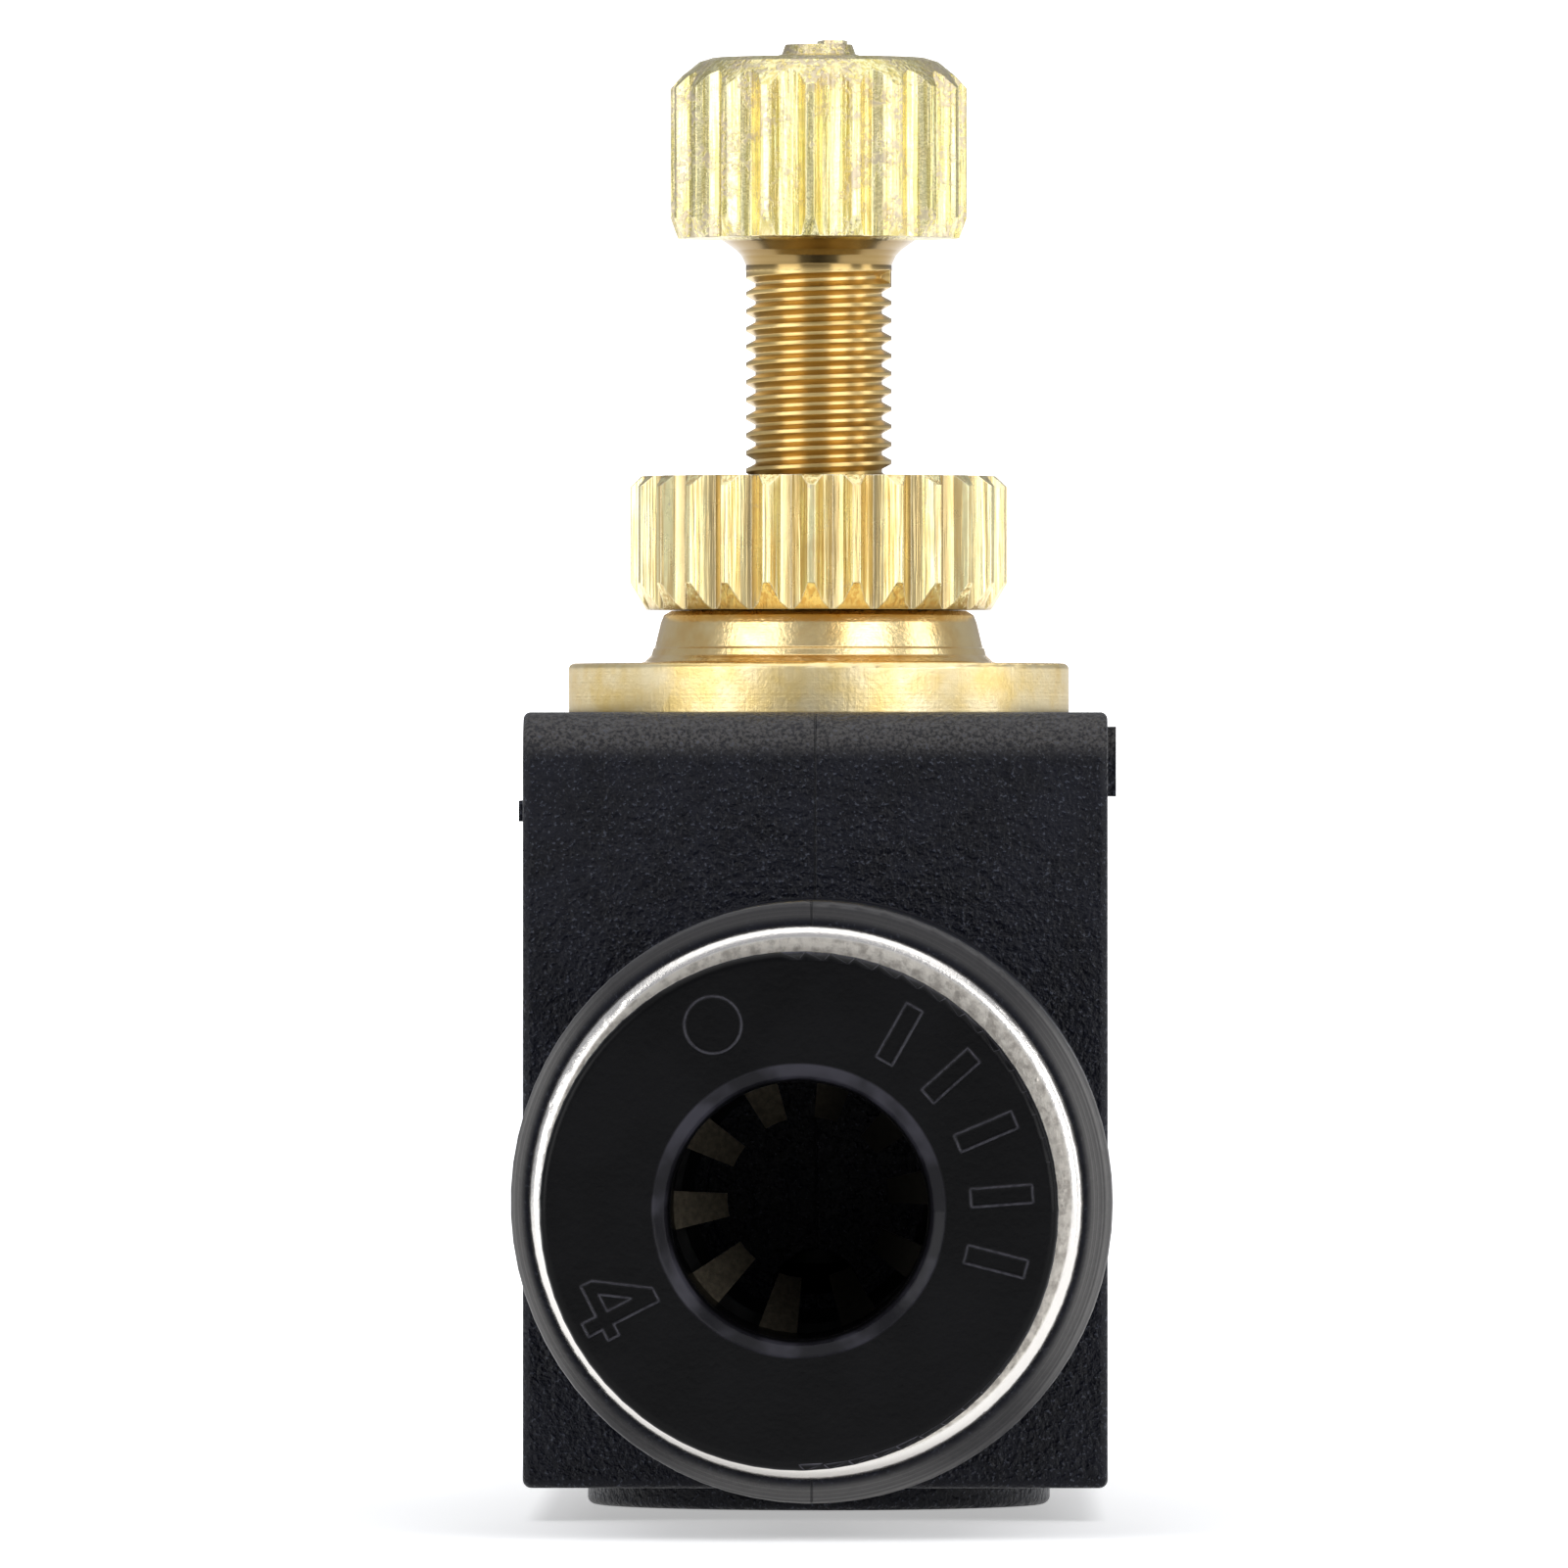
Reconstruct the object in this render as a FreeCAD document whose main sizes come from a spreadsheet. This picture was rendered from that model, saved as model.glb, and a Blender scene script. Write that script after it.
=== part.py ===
import FreeCAD, Part
import math
import os

import Sketcher

# Inline one-way flow control valve for 4 mm tube, in millimetres.
# The needle axis is the vertical line x = y = 0, and z = 0 is the underside of the round foot.
# The tube runs along Y through both ports; the front port opens towards -Y.
# Port parts are drawn once around their own axis, with height measured outward from the valve
# centre, and are placed at each end.

DIMENSIONS = [
    # moulded housing
    ("block_half_width", 4.95, "half of the block across the tube"),
    ("block_half_length", 9.5, "half of the block along the tube"),
    ("block_bottom", 0.555, "underside of the block"),
    ("block_top", 13.69, "top face of the block"),
    ("block_brow_round", 0.8, "large round on the front and rear top edges"),
    ("block_corner_round", 0.12, "round on the upright corners"),
    ("block_side_round", 0.15, "round on the long lower edges"),
    ("foot_radius", 4.0, "round foot under the block"),
    ("foot_round", 0.14, "round on the foot's lower edge"),
    ("tube_height", 5.56, "height of the tube axis"),
    ("barrel_radius", 4.985, "outside of a port barrel"),
    ("barrel_face", 18.3, "distance of a barrel face from the centre"),
    ("barrel_round", 0.1, "round on a barrel's outer edge"),
    ("port_bore_radius", 4.59, "bore that holds the metal ring"),
    ("port_bore_floor", 13.6, "floor of the port bore"),
    ("port_shift", 0.09, "how far the port bores stand off the middle, towards -X"),
    ("seal_bore_radius", 3.6, "bore that holds the port seal"),
    ("seal_bore_floor", 11.9, "floor of the seal bore"),
    ("socket_radius", 2.06, "socket that takes the tube end"),
    ("tube_stop", 8.2, "shoulder the tube end rests on"),
    ("plenum_radius", 1.75, "bore behind the tube stop"),
    ("plenum_floor", 7.2, "inner end of that bore"),
    ("guide_bore_radius", 3.2, "bore for the needle guide"),
    ("guide_bore_floor", 8.0, "lower end of the guide bore"),
    ("upper_chamber_radius", 3.0, "chamber above the seat"),
    ("upper_chamber_floor", 5.3, "floor of the upper chamber"),
    ("lower_chamber_radius", 2.3, "chamber below the seat"),
    ("lower_chamber_floor", 1.7, "floor of the lower chamber"),
    ("inlet_radius", 0.75, "channel from the front port to the lower chamber"),
    ("inlet_height", 3.8, "height of that channel"),
    ("outlet_radius", 0.8, "channel from the rear port to the upper chamber"),
    ("outlet_height", 6.6, "height of that channel"),
    ("fixing_hole_radius", 1.6, "cross holes for fixing screws"),
    ("fixing_hole_half_pitch", 6.2, "half the distance between the fixing holes"),
    ("fixing_hole_height", 10.2, "height of the fixing holes"),
    ("emboss_height", 0.18, "height of the raised marks on the sides"),
    ("label_half_length", 3.4, "half the length of the blank raised label"),
    ("label_bottom", 12.25, "lower edge of the label"),
    ("label_top", 13.45, "upper edge of the label"),
    ("arrow_half_length", 3.6, "half the length of the raised flow arrow"),
    ("arrow_head_length", 1.3, "length of its head"),
    ("arrow_axis", 12.0, "height of the arrow"),
    ("arrow_half_shaft", 0.18, "half the thickness of its shaft"),
    ("arrow_half_head", 0.62, "half the width of its head"),
    # needle guide
    ("guide_flange_radius", 4.33, "flange on the block"),
    ("guide_flange_top", 14.55, "top of the flange"),
    ("guide_flange_round", 0.1, "round on the flange edges"),
    ("guide_foot_radius", 3.12, "outside of the hollow round at the cone's foot"),
    ("guide_ring_radius", 2.87, "small ring under the cone"),
    ("guide_ring_height", 14.77, "height of that ring"),
    ("guide_cone_foot", 2.84, "cone radius at its foot"),
    ("guide_cone_shoulder", 2.74, "cone radius at its shoulder"),
    ("guide_shoulder_height", 15.25, "height of the shoulder"),
    ("guide_top_radius", 2.56, "flat seat under the lock nut"),
    ("guide_top", 15.46, "top of the guide"),
    ("guide_body_radius", 3.19, "part pressed into the housing"),
    ("guide_tube_radius", 2.2, "lower tube"),
    ("guide_tube_bottom", 5.6, "lower end of the tube"),
    ("gland_floor_radius", 2.61, "floor of the outer O-ring groove"),
    ("gland_bottom", 9.95, "lower side of that groove"),
    ("gland_top", 10.75, "upper side of that groove"),
    ("thread_bore_radius", 1.3, "tapped bore, plain here"),
    ("thread_bore_floor", 10.8, "lower end of the tapped bore"),
    ("stem_bore_radius", 1.1, "smooth bore for the stem O-ring"),
    ("stem_bore_floor", 7.4, "lower end of the smooth bore"),
    ("metering_radius", 1.5, "bore above the seat"),
    ("cross_hole_radius", 0.5, "four holes through the lower tube"),
    ("cross_hole_height", 6.6, "height of those holes"),
    # seat sleeve and seals
    ("spigot_radius", 1.48, "top of the seat sleeve inside the guide tube"),
    ("spigot_top", 6.05, "top of the sleeve"),
    ("sleeve_flange_radius", 2.0, "flange under the guide tube"),
    ("sleeve_flange_top", 5.59, "top of that flange"),
    ("sleeve_flange_bottom", 5.25, "underside of that flange"),
    ("sleeve_waist_radius", 1.55, "waist that carries the lip seal"),
    ("sleeve_foot_radius", 1.9, "foot below the lip seal"),
    ("sleeve_foot_top", 4.55, "top of the foot"),
    ("sleeve_bottom", 4.2, "lower end of the sleeve"),
    ("sleeve_mouth_radius", 1.2, "entry above and below the orifice"),
    ("orifice_radius", 0.85, "orifice"),
    ("orifice_top", 5.1, "upper end of the orifice"),
    ("orifice_bottom", 4.5, "lower end of the orifice"),
    ("check_tip_radius", 2.29, "lip of the check seal"),
    ("guide_ring_major", 2.9, "outer O-ring, centre of its section"),
    ("guide_ring_minor", 0.29, "outer O-ring, half its section"),
    ("guide_ring_level", 10.35, "height of the outer O-ring"),
    ("stem_ring_major", 0.865, "stem O-ring, centre of its section"),
    ("stem_ring_minor", 0.225, "stem O-ring, half its section"),
    ("stem_ring_level", 10.3, "height of the stem O-ring"),
    # needle screw
    ("needle_tip_radius", 0.35, "tip of the taper"),
    ("needle_tip", 5.25, "height of the tip, valve open"),
    ("needle_radius", 0.8, "needle above the taper"),
    ("needle_taper_top", 7.35, "top of the taper"),
    ("needle_shoulder", 9.4, "step from needle to stem"),
    ("stem_radius", 0.98, "stem below the thread"),
    ("stem_groove_radius", 0.63, "floor of the stem O-ring groove"),
    ("stem_groove_bottom", 10.05, "lower side of that groove"),
    ("stem_groove_top", 10.55, "upper side of that groove"),
    ("thread_start", 13.2, "lower end of the thread"),
    ("thread_radius", 1.265, "outside of the thread"),
    ("thread_root", 1.1, "root of the thread"),
    ("thread_pitch", 0.306, "rise in one turn"),
    ("thread_end", 21.34, "upper end of the thread"),
    ("thread_half_mouth", 0.13, "half the width of the thread groove outside"),
    ("thread_half_floor", 0.03, "half the width of the thread groove floor"),
    ("neck_radius", 1.27, "plain neck above the thread"),
    ("neck_top", 21.45, "where the neck starts to flare"),
    ("flare_radius", 1.72, "flare under the knob"),
    ("knob_bottom", 21.905, "underside of the knob"),
    ("knob_radius", 2.565, "knob across the knurl"),
    ("knob_foot_radius", 2.44, "underside radius inside the chamfer"),
    ("knob_foot_height", 0.34, "height of the lower chamfer"),
    ("knob_top", 25.03, "top face of the knob"),
    ("knob_crown_radius", 1.86, "flat top inside the upper chamfer"),
    ("knob_crown_height", 0.52, "height of the rounded upper edge"),
    ("knob_brow_radius", 2.08, "knob just under the flat top"),
    ("knob_cheek_radius", 2.36, "knob half way down the rounded edge"),
    ("knob_teeth", 20, "teeth on the knob"),
    ("knob_groove_depth", 0.27, "depth of the knob's knurl"),
    ("knob_groove_knee", 0.19, "depth where its flanks get flatter"),
    ("knob_groove_knee_half", 0.175, "half its width there"),
    ("knob_groove_mouth_half", 0.534, "half its width 0.2 mm outside the knob"),
    ("knob_turn", 6.0, "angle of the first groove, in degrees"),
    ("nib_radius", 0.64, "turning nib on the knob"),
    ("nib_top_radius", 0.58, "top of the nib"),
    ("nib_low", 25.265, "lower side of the broken nib"),
    ("nib_high", 25.335, "upper side of the broken nib"),
    # lock nut
    ("nut_bottom", 15.475, "underside of the lock nut"),
    ("nut_top", 17.79, "top of the lock nut"),
    ("nut_radius", 3.265, "lock nut across the knurl"),
    ("nut_foot_radius", 2.99, "underside radius inside the chamfer"),
    ("nut_foot_height", 0.45, "height of the lower chamfer"),
    ("nut_crown_radius", 3.07, "top radius inside the chamfer"),
    ("nut_crown_height", 0.18, "height of the upper chamfer"),
    ("nut_bore_chamfer", 0.14, "countersink of the nut's bore"),
    ("nut_teeth", 26, "teeth on the lock nut"),
    ("nut_groove_depth", 0.3, "depth of the nut's knurl"),
    ("nut_groove_knee", 0.21, "depth where its flanks get flatter"),
    ("nut_groove_knee_half", 0.172, "half its width there"),
    ("nut_groove_mouth_half", 0.51, "half its width 0.2 mm outside the nut"),
    ("nut_turn", -1.9, "angle of the first groove, in degrees"),
    # port parts, heights measured outward from the valve centre
    ("mouth_radius", 4.59, "metal guide ring, outside"),
    ("mouth_face", 18.5, "front of the metal ring"),
    ("mouth_back", 15.2, "back of the metal ring"),
    ("mouth_bore_radius", 3.22, "bore the collar slides in"),
    ("mouth_funnel_radius", 3.95, "funnel in the ring's front"),
    ("mouth_funnel_floor", 17.8, "inner end of the funnel"),
    ("mouth_shoulder", 16.3, "shoulder behind the bore"),
    ("mouth_recess_radius", 3.9, "recess behind the shoulder"),
    ("mouth_round", 0.2, "rolled edge on the ring's front"),
    ("collar_face", 20.0, "outer face of the release collar"),
    ("collar_head_radius", 4.28, "head of the collar"),
    ("collar_head_back", 19.25, "back of the head"),
    ("collar_head_round", 0.13, "round on the head's front edge"),
    ("collar_neck_radius", 2.98, "neck of the collar"),
    ("collar_barb_radius", 3.36, "barb that keeps the collar in"),
    ("collar_barb_front", 16.1, "front of the barb"),
    ("collar_barb_back", 15.6, "back of the barb"),
    ("collar_nose", 15.05, "inner end of the collar"),
    ("collar_nose_radius", 2.45, "inner end radius"),
    ("collar_bore_radius", 2.13, "bore for the tube"),
    ("collar_entry_radius", 2.41, "bore entry at the face"),
    ("collar_entry_depth", 0.26, "depth of the entry"),
    ("collar_play", 0.11, "sideways play the collar rests in"),
    ("mark_depth", 0.07, "depth of the recessed marks"),
    ("dot_radius", 0.47, "round mark"),
    ("dot_distance", 3.38, "distance of the round mark from the axis"),
    ("bar_inner", 2.84, "inner end of a bar mark"),
    ("bar_outer", 3.86, "outer end of a bar mark"),
    ("bar_half_width", 0.15, "half the width of a bar mark"),
    ("claw_ring_radius", 4.57, "grip ring, outside"),
    ("claw_root_radius", 3.5, "where the claws start to bend"),
    ("claw_tip_radius", 1.35, "claw tips"),
    ("claw_face", 15.19, "front of the grip ring"),
    ("claw_drop", 1.1, "how far the tips lie further in"),
    ("claw_thickness", 0.18, "sheet thickness"),
    ("claw_count", 10, "claws"),
    ("claw_turn", 23.2, "angle of the first slot between claws, in degrees"),
    ("backup_radius", 4.57, "backup ring, outside"),
    ("backup_front", 15.0, "front of the backup ring"),
    ("backup_back", 13.61, "back of the backup ring"),
    ("backup_bore_radius", 2.12, "bore of the backup ring"),
    ("backup_cone_radius", 3.6, "outside of its hollow cone"),
    ("backup_cone_floor", 13.85, "cone height at the bore"),
    ("seal_front", 13.59, "front of the port seal"),
    ("seal_back", 11.95, "tips of the seal lips"),
    ("seal_radius", 3.58, "port seal, outside"),
    ("seal_heel_radius", 2.15, "bore of the seal's heel"),
    ("seal_lip_radius", 1.92, "bore of the inner lip"),
    ("seal_web", 12.9, "floor of the groove between the lips"),
]

DIM = {}
for alias, number, meaning in DIMENSIONS:
    DIM[alias] = number

FRONT = 0.0
REAR = 180.0


def amount(text):
    """Number for a sum of dimension names, such as 'knob_top - knob_crown_height'."""
    total = 0.0
    sign = 1.0
    for word in text.split():
        if word == "+":
            sign = 1.0
        elif word == "-":
            sign = -1.0
        else:
            total += sign * (DIM[word] if word in DIM else float(word))
    return total


def formula(text):
    """The same sum written as an expression on the spreadsheet."""
    return " ".join("Dims." + word if word in DIM else word for word in text.split())


def make_sheet(doc):
    sheet = doc.addObject("Spreadsheet::Sheet", "Dims")
    for row, (alias, number, meaning) in enumerate(DIMENSIONS, start=1):
        sheet.set("A%d" % row, alias)
        sheet.set("B%d" % row, str(number))
        sheet.set("C%d" % row, meaning)
        sheet.setAlias("B%d" % row, alias)
    doc.recompute()
    return sheet


def make_body(doc, name):
    body = doc.addObject("PartDesign::Body", name)
    body.Label = name
    return body


def place_in_port(body, facing, spin=0.0):
    """Stand a port part on the tube axis: its own Z becomes the outward direction."""
    turn = FreeCAD.Rotation(FreeCAD.Vector(0, 0, 1), facing)
    tip = FreeCAD.Rotation(FreeCAD.Vector(1, 0, 0), 90)
    own = FreeCAD.Rotation(FreeCAD.Vector(0, 0, 1), spin)
    body.Placement = FreeCAD.Placement(FreeCAD.Vector(0, 0, DIM["tube_height"]), turn * tip * own)
    body.setExpression("Placement.Base.x", "-Dims.port_shift")
    body.setExpression("Placement.Base.z", "Dims.tube_height")


def datum(body, role):
    return [item for item in body.Origin.OriginFeatures if item.Role == role][0]


def make_sketch(body, name, role, lift=None, shift=None):
    """Empty sketch on an origin plane, lifted along its normal or shifted up in its plane."""
    sketch = body.newObject("Sketcher::SketchObject", name)
    sketch.AttachmentSupport = [(datum(body, role), "")]
    sketch.MapMode = "FlatFace"
    if lift is not None:
        sketch.setExpression("AttachmentOffset.Base.z", formula(lift))
    if shift is not None:
        sketch.setExpression("AttachmentOffset.Base.y", formula(shift))
    return sketch


def pin_down(sketch, edge, end, axis, text):
    """Hold one end point of an edge at a signed distance from the sketch origin."""
    value = amount(text)
    if abs(value) < 1e-9:
        line = -2 if axis == "X" else -1
        sketch.addConstraint(Sketcher.Constraint("PointOnObject", edge, end, line))
        return
    kind = "Distance" + axis
    index = sketch.addConstraint(Sketcher.Constraint(kind, -1, 1, edge, end, value))
    sketch.setExpression("Constraints[%d]" % index, formula(text))


def add_outline(sketch, corners):
    """Closed outline through corners whose coordinates are sums of dimensions."""
    first = sketch.GeometryCount
    count = len(corners)
    points = [FreeCAD.Vector(amount(x), amount(y), 0) for x, y in corners]
    for step in range(count):
        sketch.addGeometry(Part.LineSegment(points[step], points[(step + 1) % count]), False)
    for step in range(count):
        following = first + (step + 1) % count
        sketch.addConstraint(Sketcher.Constraint("Coincident", first + step, 2, following, 1))
    for step, (x, y) in enumerate(corners):
        pin_down(sketch, first + step, 1, "X", x)
        pin_down(sketch, first + step, 1, "Y", y)


def add_circle(sketch, x, y, radius):
    middle = FreeCAD.Vector(amount(x), amount(y), 0)
    edge = sketch.GeometryCount
    sketch.addGeometry(Part.Circle(middle, FreeCAD.Vector(0, 0, 1), DIM[radius]), False)
    index = sketch.addConstraint(Sketcher.Constraint("Radius", edge, DIM[radius]))
    sketch.setExpression("Constraints[%d]" % index, formula(radius))
    pin_down(sketch, edge, 3, "X", x)
    pin_down(sketch, edge, 3, "Y", y)


def turn_feature(body, kind, name, sketch, axis=None):
    """Revolution or Groove right round an axis, the body's Z unless another is given."""
    feature = body.newObject("PartDesign::" + kind, name)
    feature.Profile = sketch
    feature.ReferenceAxis = axis or (datum(body, "Z_Axis"), [""])
    feature.Angle = 360
    return feature


def turned_body(doc, name, corners):
    body = make_body(doc, name)
    sketch = make_sketch(body, name + "_profile", "XZ_Plane")
    add_outline(sketch, corners)
    turn_feature(body, "Revolution", name + "_turned", sketch)
    doc.recompute()
    return body


def extrude(body, kind, name, sketch, length=None, back=False, both=False):
    """Pad or Pocket of a given length, or through everything when there is none."""
    feature = body.newObject("PartDesign::" + kind, name)
    feature.Profile = sketch
    feature.Reversed = back
    if both:
        feature.Midplane = True
    if length is None:
        feature.Type = "ThroughAll"
    else:
        feature.Type = "Length"
        feature.setExpression("Length", formula(length))
    return feature


def repeat_round(body, name, feature, count, span=360.0):
    pattern = body.newObject("PartDesign::PolarPattern", name)
    pattern.Originals = [feature]
    pattern.Axis = (datum(body, "Z_Axis"), [""])
    pattern.Angle = span
    if count in DIM:
        pattern.Occurrences = DIM[count]
        pattern.setExpression("Occurrences", formula(count))
    else:
        pattern.Occurrences = int(count)
    body.Tip = pattern
    return pattern


def round_edges(doc, body, name, radius, wanted):
    """Fillet on every edge of the body so far that passes the test."""
    doc.recompute()
    last = body.Tip
    names = []
    for number, edge in enumerate(last.Shape.Edges, start=1):
        if wanted(edge):
            names.append("Edge%d" % number)
    fillet = body.newObject("PartDesign::Fillet", name)
    fillet.Base = (last, names)
    fillet.Radius = DIM[radius]
    fillet.setExpression("Radius", formula(radius))
    doc.recompute()
    return fillet


def near(value, goal):
    return abs(value - goal) < 1e-4


def is_circle(edge, radius):
    """True for a circular edge; some edges where curved faces meet have no curve of a known kind."""
    try:
        curve = edge.Curve
    except TypeError:
        return False
    return isinstance(curve, Part.Circle) and near(curve.Radius, radius)


def add_block(doc, body):
    base = make_sketch(body, "block_outline", "XY_Plane", lift="block_bottom")
    wide = "block_half_width"
    long = "block_half_length"
    add_outline(base, [("0 - " + wide, "0 - " + long), (wide, "0 - " + long), (wide, long), ("0 - " + wide, long)])
    extrude(body, "Pad", "block", base, "block_top - block_bottom")
    round_edges(doc, body, "block_brow", "block_brow_round",
                lambda edge: near(edge.BoundBox.ZMin, DIM["block_top"])
                and near(edge.BoundBox.YMin, edge.BoundBox.YMax))
    round_edges(doc, body, "block_corners", "block_corner_round",
                lambda edge: near(edge.BoundBox.YMin, edge.BoundBox.YMax)
                and near(abs(edge.BoundBox.YMin), DIM["block_half_length"])
                and edge.BoundBox.ZLength > 5.0)
    round_edges(doc, body, "block_lower_sides", "block_side_round",
                lambda edge: near(edge.BoundBox.ZMax, DIM["block_bottom"])
                and near(edge.BoundBox.XMin, edge.BoundBox.XMax)
                and edge.BoundBox.YLength > 5.0)


def add_barrels(doc, body):
    disc = make_sketch(body, "barrel_outline", "XZ_Plane")
    add_circle(disc, "0", "tube_height", "barrel_radius")
    extrude(body, "Pad", "barrels", disc, "barrel_face + barrel_face", both=True)
    round_edges(doc, body, "barrel_edges", "barrel_round",
                lambda edge: is_circle(edge, DIM["barrel_radius"])
                and near(abs(edge.BoundBox.YMin), DIM["barrel_face"])
                and near(edge.BoundBox.YMin, edge.BoundBox.YMax))


def add_foot(doc, body):
    disc = make_sketch(body, "foot_outline", "XY_Plane")
    add_circle(disc, "0", "0", "foot_radius")
    extrude(body, "Pad", "foot", disc, "block_bottom + block_corner_round")
    round_edges(doc, body, "foot_edge", "foot_round",
                lambda edge: is_circle(edge, DIM["foot_radius"]) and near(edge.BoundBox.ZMax, 0.0))


def cut_needle_bore(doc, body):
    profile = make_sketch(body, "needle_bore_profile", "XZ_Plane")
    add_outline(profile, [
        ("0", "lower_chamber_floor"),
        ("lower_chamber_radius", "lower_chamber_floor"),
        ("lower_chamber_radius", "upper_chamber_floor"),
        ("upper_chamber_radius", "upper_chamber_floor"),
        ("upper_chamber_radius", "guide_bore_floor"),
        ("guide_bore_radius", "guide_bore_floor"),
        ("guide_bore_radius", "block_top + 1"),
        ("0", "block_top + 1"),
    ])
    turn_feature(body, "Groove", "needle_bore", profile)
    doc.recompute()


def cut_ports(doc, body):
    profile = make_sketch(body, "port_bore_profile", "YZ_Plane", lift="0 - port_shift", shift="tube_height")
    add_outline(profile, [
        ("plenum_floor", "0"),
        ("plenum_floor", "plenum_radius"),
        ("tube_stop", "plenum_radius"),
        ("tube_stop", "socket_radius"),
        ("seal_bore_floor", "socket_radius"),
        ("seal_bore_floor", "seal_bore_radius"),
        ("port_bore_floor", "seal_bore_radius"),
        ("port_bore_floor", "port_bore_radius"),
        ("barrel_face + 1", "port_bore_radius"),
        ("barrel_face + 1", "0"),
    ])
    rear = turn_feature(body, "Groove", "rear_port_bore", profile, (profile, ["H_Axis"]))
    doc.recompute()
    front = body.newObject("PartDesign::Mirrored", "front_port_bore")
    front.Originals = [rear]
    front.MirrorPlane = (datum(body, "XZ_Plane"), [""])
    body.Tip = front
    doc.recompute()


def cut_channels(doc, body):
    inlet = make_sketch(body, "inlet_outline", "XZ_Plane")
    add_circle(inlet, "0", "inlet_height", "inlet_radius")
    extrude(body, "Pocket", "inlet_channel", inlet, "plenum_floor + 0.4", back=True)
    outlet = make_sketch(body, "outlet_outline", "XZ_Plane")
    add_circle(outlet, "0", "outlet_height", "outlet_radius")
    extrude(body, "Pocket", "outlet_channel", outlet, "plenum_floor + 0.4")
    doc.recompute()


def cut_fixing_holes(doc, body):
    holes = make_sketch(body, "fixing_hole_outline", "YZ_Plane")
    add_circle(holes, "fixing_hole_half_pitch", "fixing_hole_height", "fixing_hole_radius")
    add_circle(holes, "0 - fixing_hole_half_pitch", "fixing_hole_height", "fixing_hole_radius")
    extrude(body, "Pocket", "fixing_holes", holes, "block_half_width + block_half_width + 2", both=True)
    doc.recompute()


def add_side_marks(doc, body):
    label = make_sketch(body, "label_outline", "YZ_Plane", lift="block_half_width - 0.2")
    half = "label_half_length"
    add_outline(label, [("0 - " + half, "label_bottom"), (half, "label_bottom"),
                        (half, "label_top"), ("0 - " + half, "label_top")])
    extrude(body, "Pad", "label", label, "emboss_height + 0.2")
    arrow = make_sketch(body, "arrow_outline", "YZ_Plane", lift="0.2 - block_half_width")
    tail = "0 - arrow_half_length"
    neck = "arrow_half_length - arrow_head_length"
    add_outline(arrow, [
        (tail, "arrow_axis - arrow_half_shaft"),
        (neck, "arrow_axis - arrow_half_shaft"),
        (neck, "arrow_axis - arrow_half_head"),
        ("arrow_half_length", "arrow_axis"),
        (neck, "arrow_axis + arrow_half_head"),
        (neck, "arrow_axis + arrow_half_shaft"),
        (tail, "arrow_axis + arrow_half_shaft"),
    ])
    extrude(body, "Pad", "arrow", arrow, "emboss_height + 0.2", back=True)
    doc.recompute()


def make_housing(doc):
    body = make_body(doc, "housing")
    add_block(doc, body)
    add_barrels(doc, body)
    add_foot(doc, body)
    cut_needle_bore(doc, body)
    cut_ports(doc, body)
    cut_channels(doc, body)
    cut_fixing_holes(doc, body)
    add_side_marks(doc, body)


def make_needle_guide(doc):
    body = turned_body(doc, "needle_guide", [
        ("thread_bore_radius + nut_bore_chamfer", "guide_top"),
        ("guide_top_radius", "guide_top"),
        ("guide_cone_shoulder - 0.05", "guide_shoulder_height + 0.13"),
        ("guide_cone_shoulder", "guide_shoulder_height"),
        ("guide_cone_foot", "guide_ring_height + 0.06"),
        ("guide_ring_radius", "guide_ring_height + 0.03"),
        ("guide_ring_radius + 0.03", "guide_ring_height - 0.08"),
        ("guide_foot_radius - 0.1", "guide_flange_top + 0.03"),
        ("guide_foot_radius", "guide_flange_top"),
        ("guide_flange_radius", "guide_flange_top"),
        ("guide_flange_radius", "block_top"),
        ("guide_body_radius", "block_top"),
        ("guide_body_radius", "gland_top"),
        ("gland_floor_radius", "gland_top"),
        ("gland_floor_radius", "gland_bottom"),
        ("guide_body_radius", "gland_bottom"),
        ("guide_body_radius", "guide_bore_floor"),
        ("guide_tube_radius", "guide_bore_floor"),
        ("guide_tube_radius", "guide_tube_bottom"),
        ("metering_radius", "guide_tube_bottom"),
        ("metering_radius", "stem_bore_floor"),
        ("stem_bore_radius", "stem_bore_floor"),
        ("stem_bore_radius", "thread_bore_floor"),
        ("thread_bore_radius", "thread_bore_floor"),
        ("thread_bore_radius", "guide_top - nut_bore_chamfer"),
    ])
    hole = make_sketch(body, "cross_hole_outline", "XZ_Plane")
    add_circle(hole, "0", "cross_hole_height", "cross_hole_radius")
    cut = extrude(body, "Pocket", "cross_hole", hole, "guide_tube_radius + 0.2")
    doc.recompute()
    repeat_round(body, "cross_holes", cut, "4")
    round_edges(doc, body, "flange_edges", "guide_flange_round",
                lambda edge: is_circle(edge, DIM["guide_flange_radius"])
                and near(edge.BoundBox.ZMin, DIM["guide_flange_top"]))


def make_seat_sleeve(doc):
    turned_body(doc, "seat_sleeve", [
        ("sleeve_mouth_radius", "spigot_top"),
        ("spigot_radius", "spigot_top"),
        ("spigot_radius", "sleeve_flange_top"),
        ("sleeve_flange_radius", "sleeve_flange_top"),
        ("sleeve_flange_radius", "sleeve_flange_bottom"),
        ("sleeve_waist_radius", "sleeve_flange_bottom"),
        ("sleeve_waist_radius", "sleeve_foot_top"),
        ("sleeve_foot_radius", "sleeve_foot_top"),
        ("sleeve_foot_radius", "sleeve_bottom"),
        ("sleeve_mouth_radius", "sleeve_bottom"),
        ("orifice_radius", "orifice_bottom"),
        ("orifice_radius", "orifice_top"),
        ("sleeve_mouth_radius", "orifice_top + 0.4"),
    ])


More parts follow.
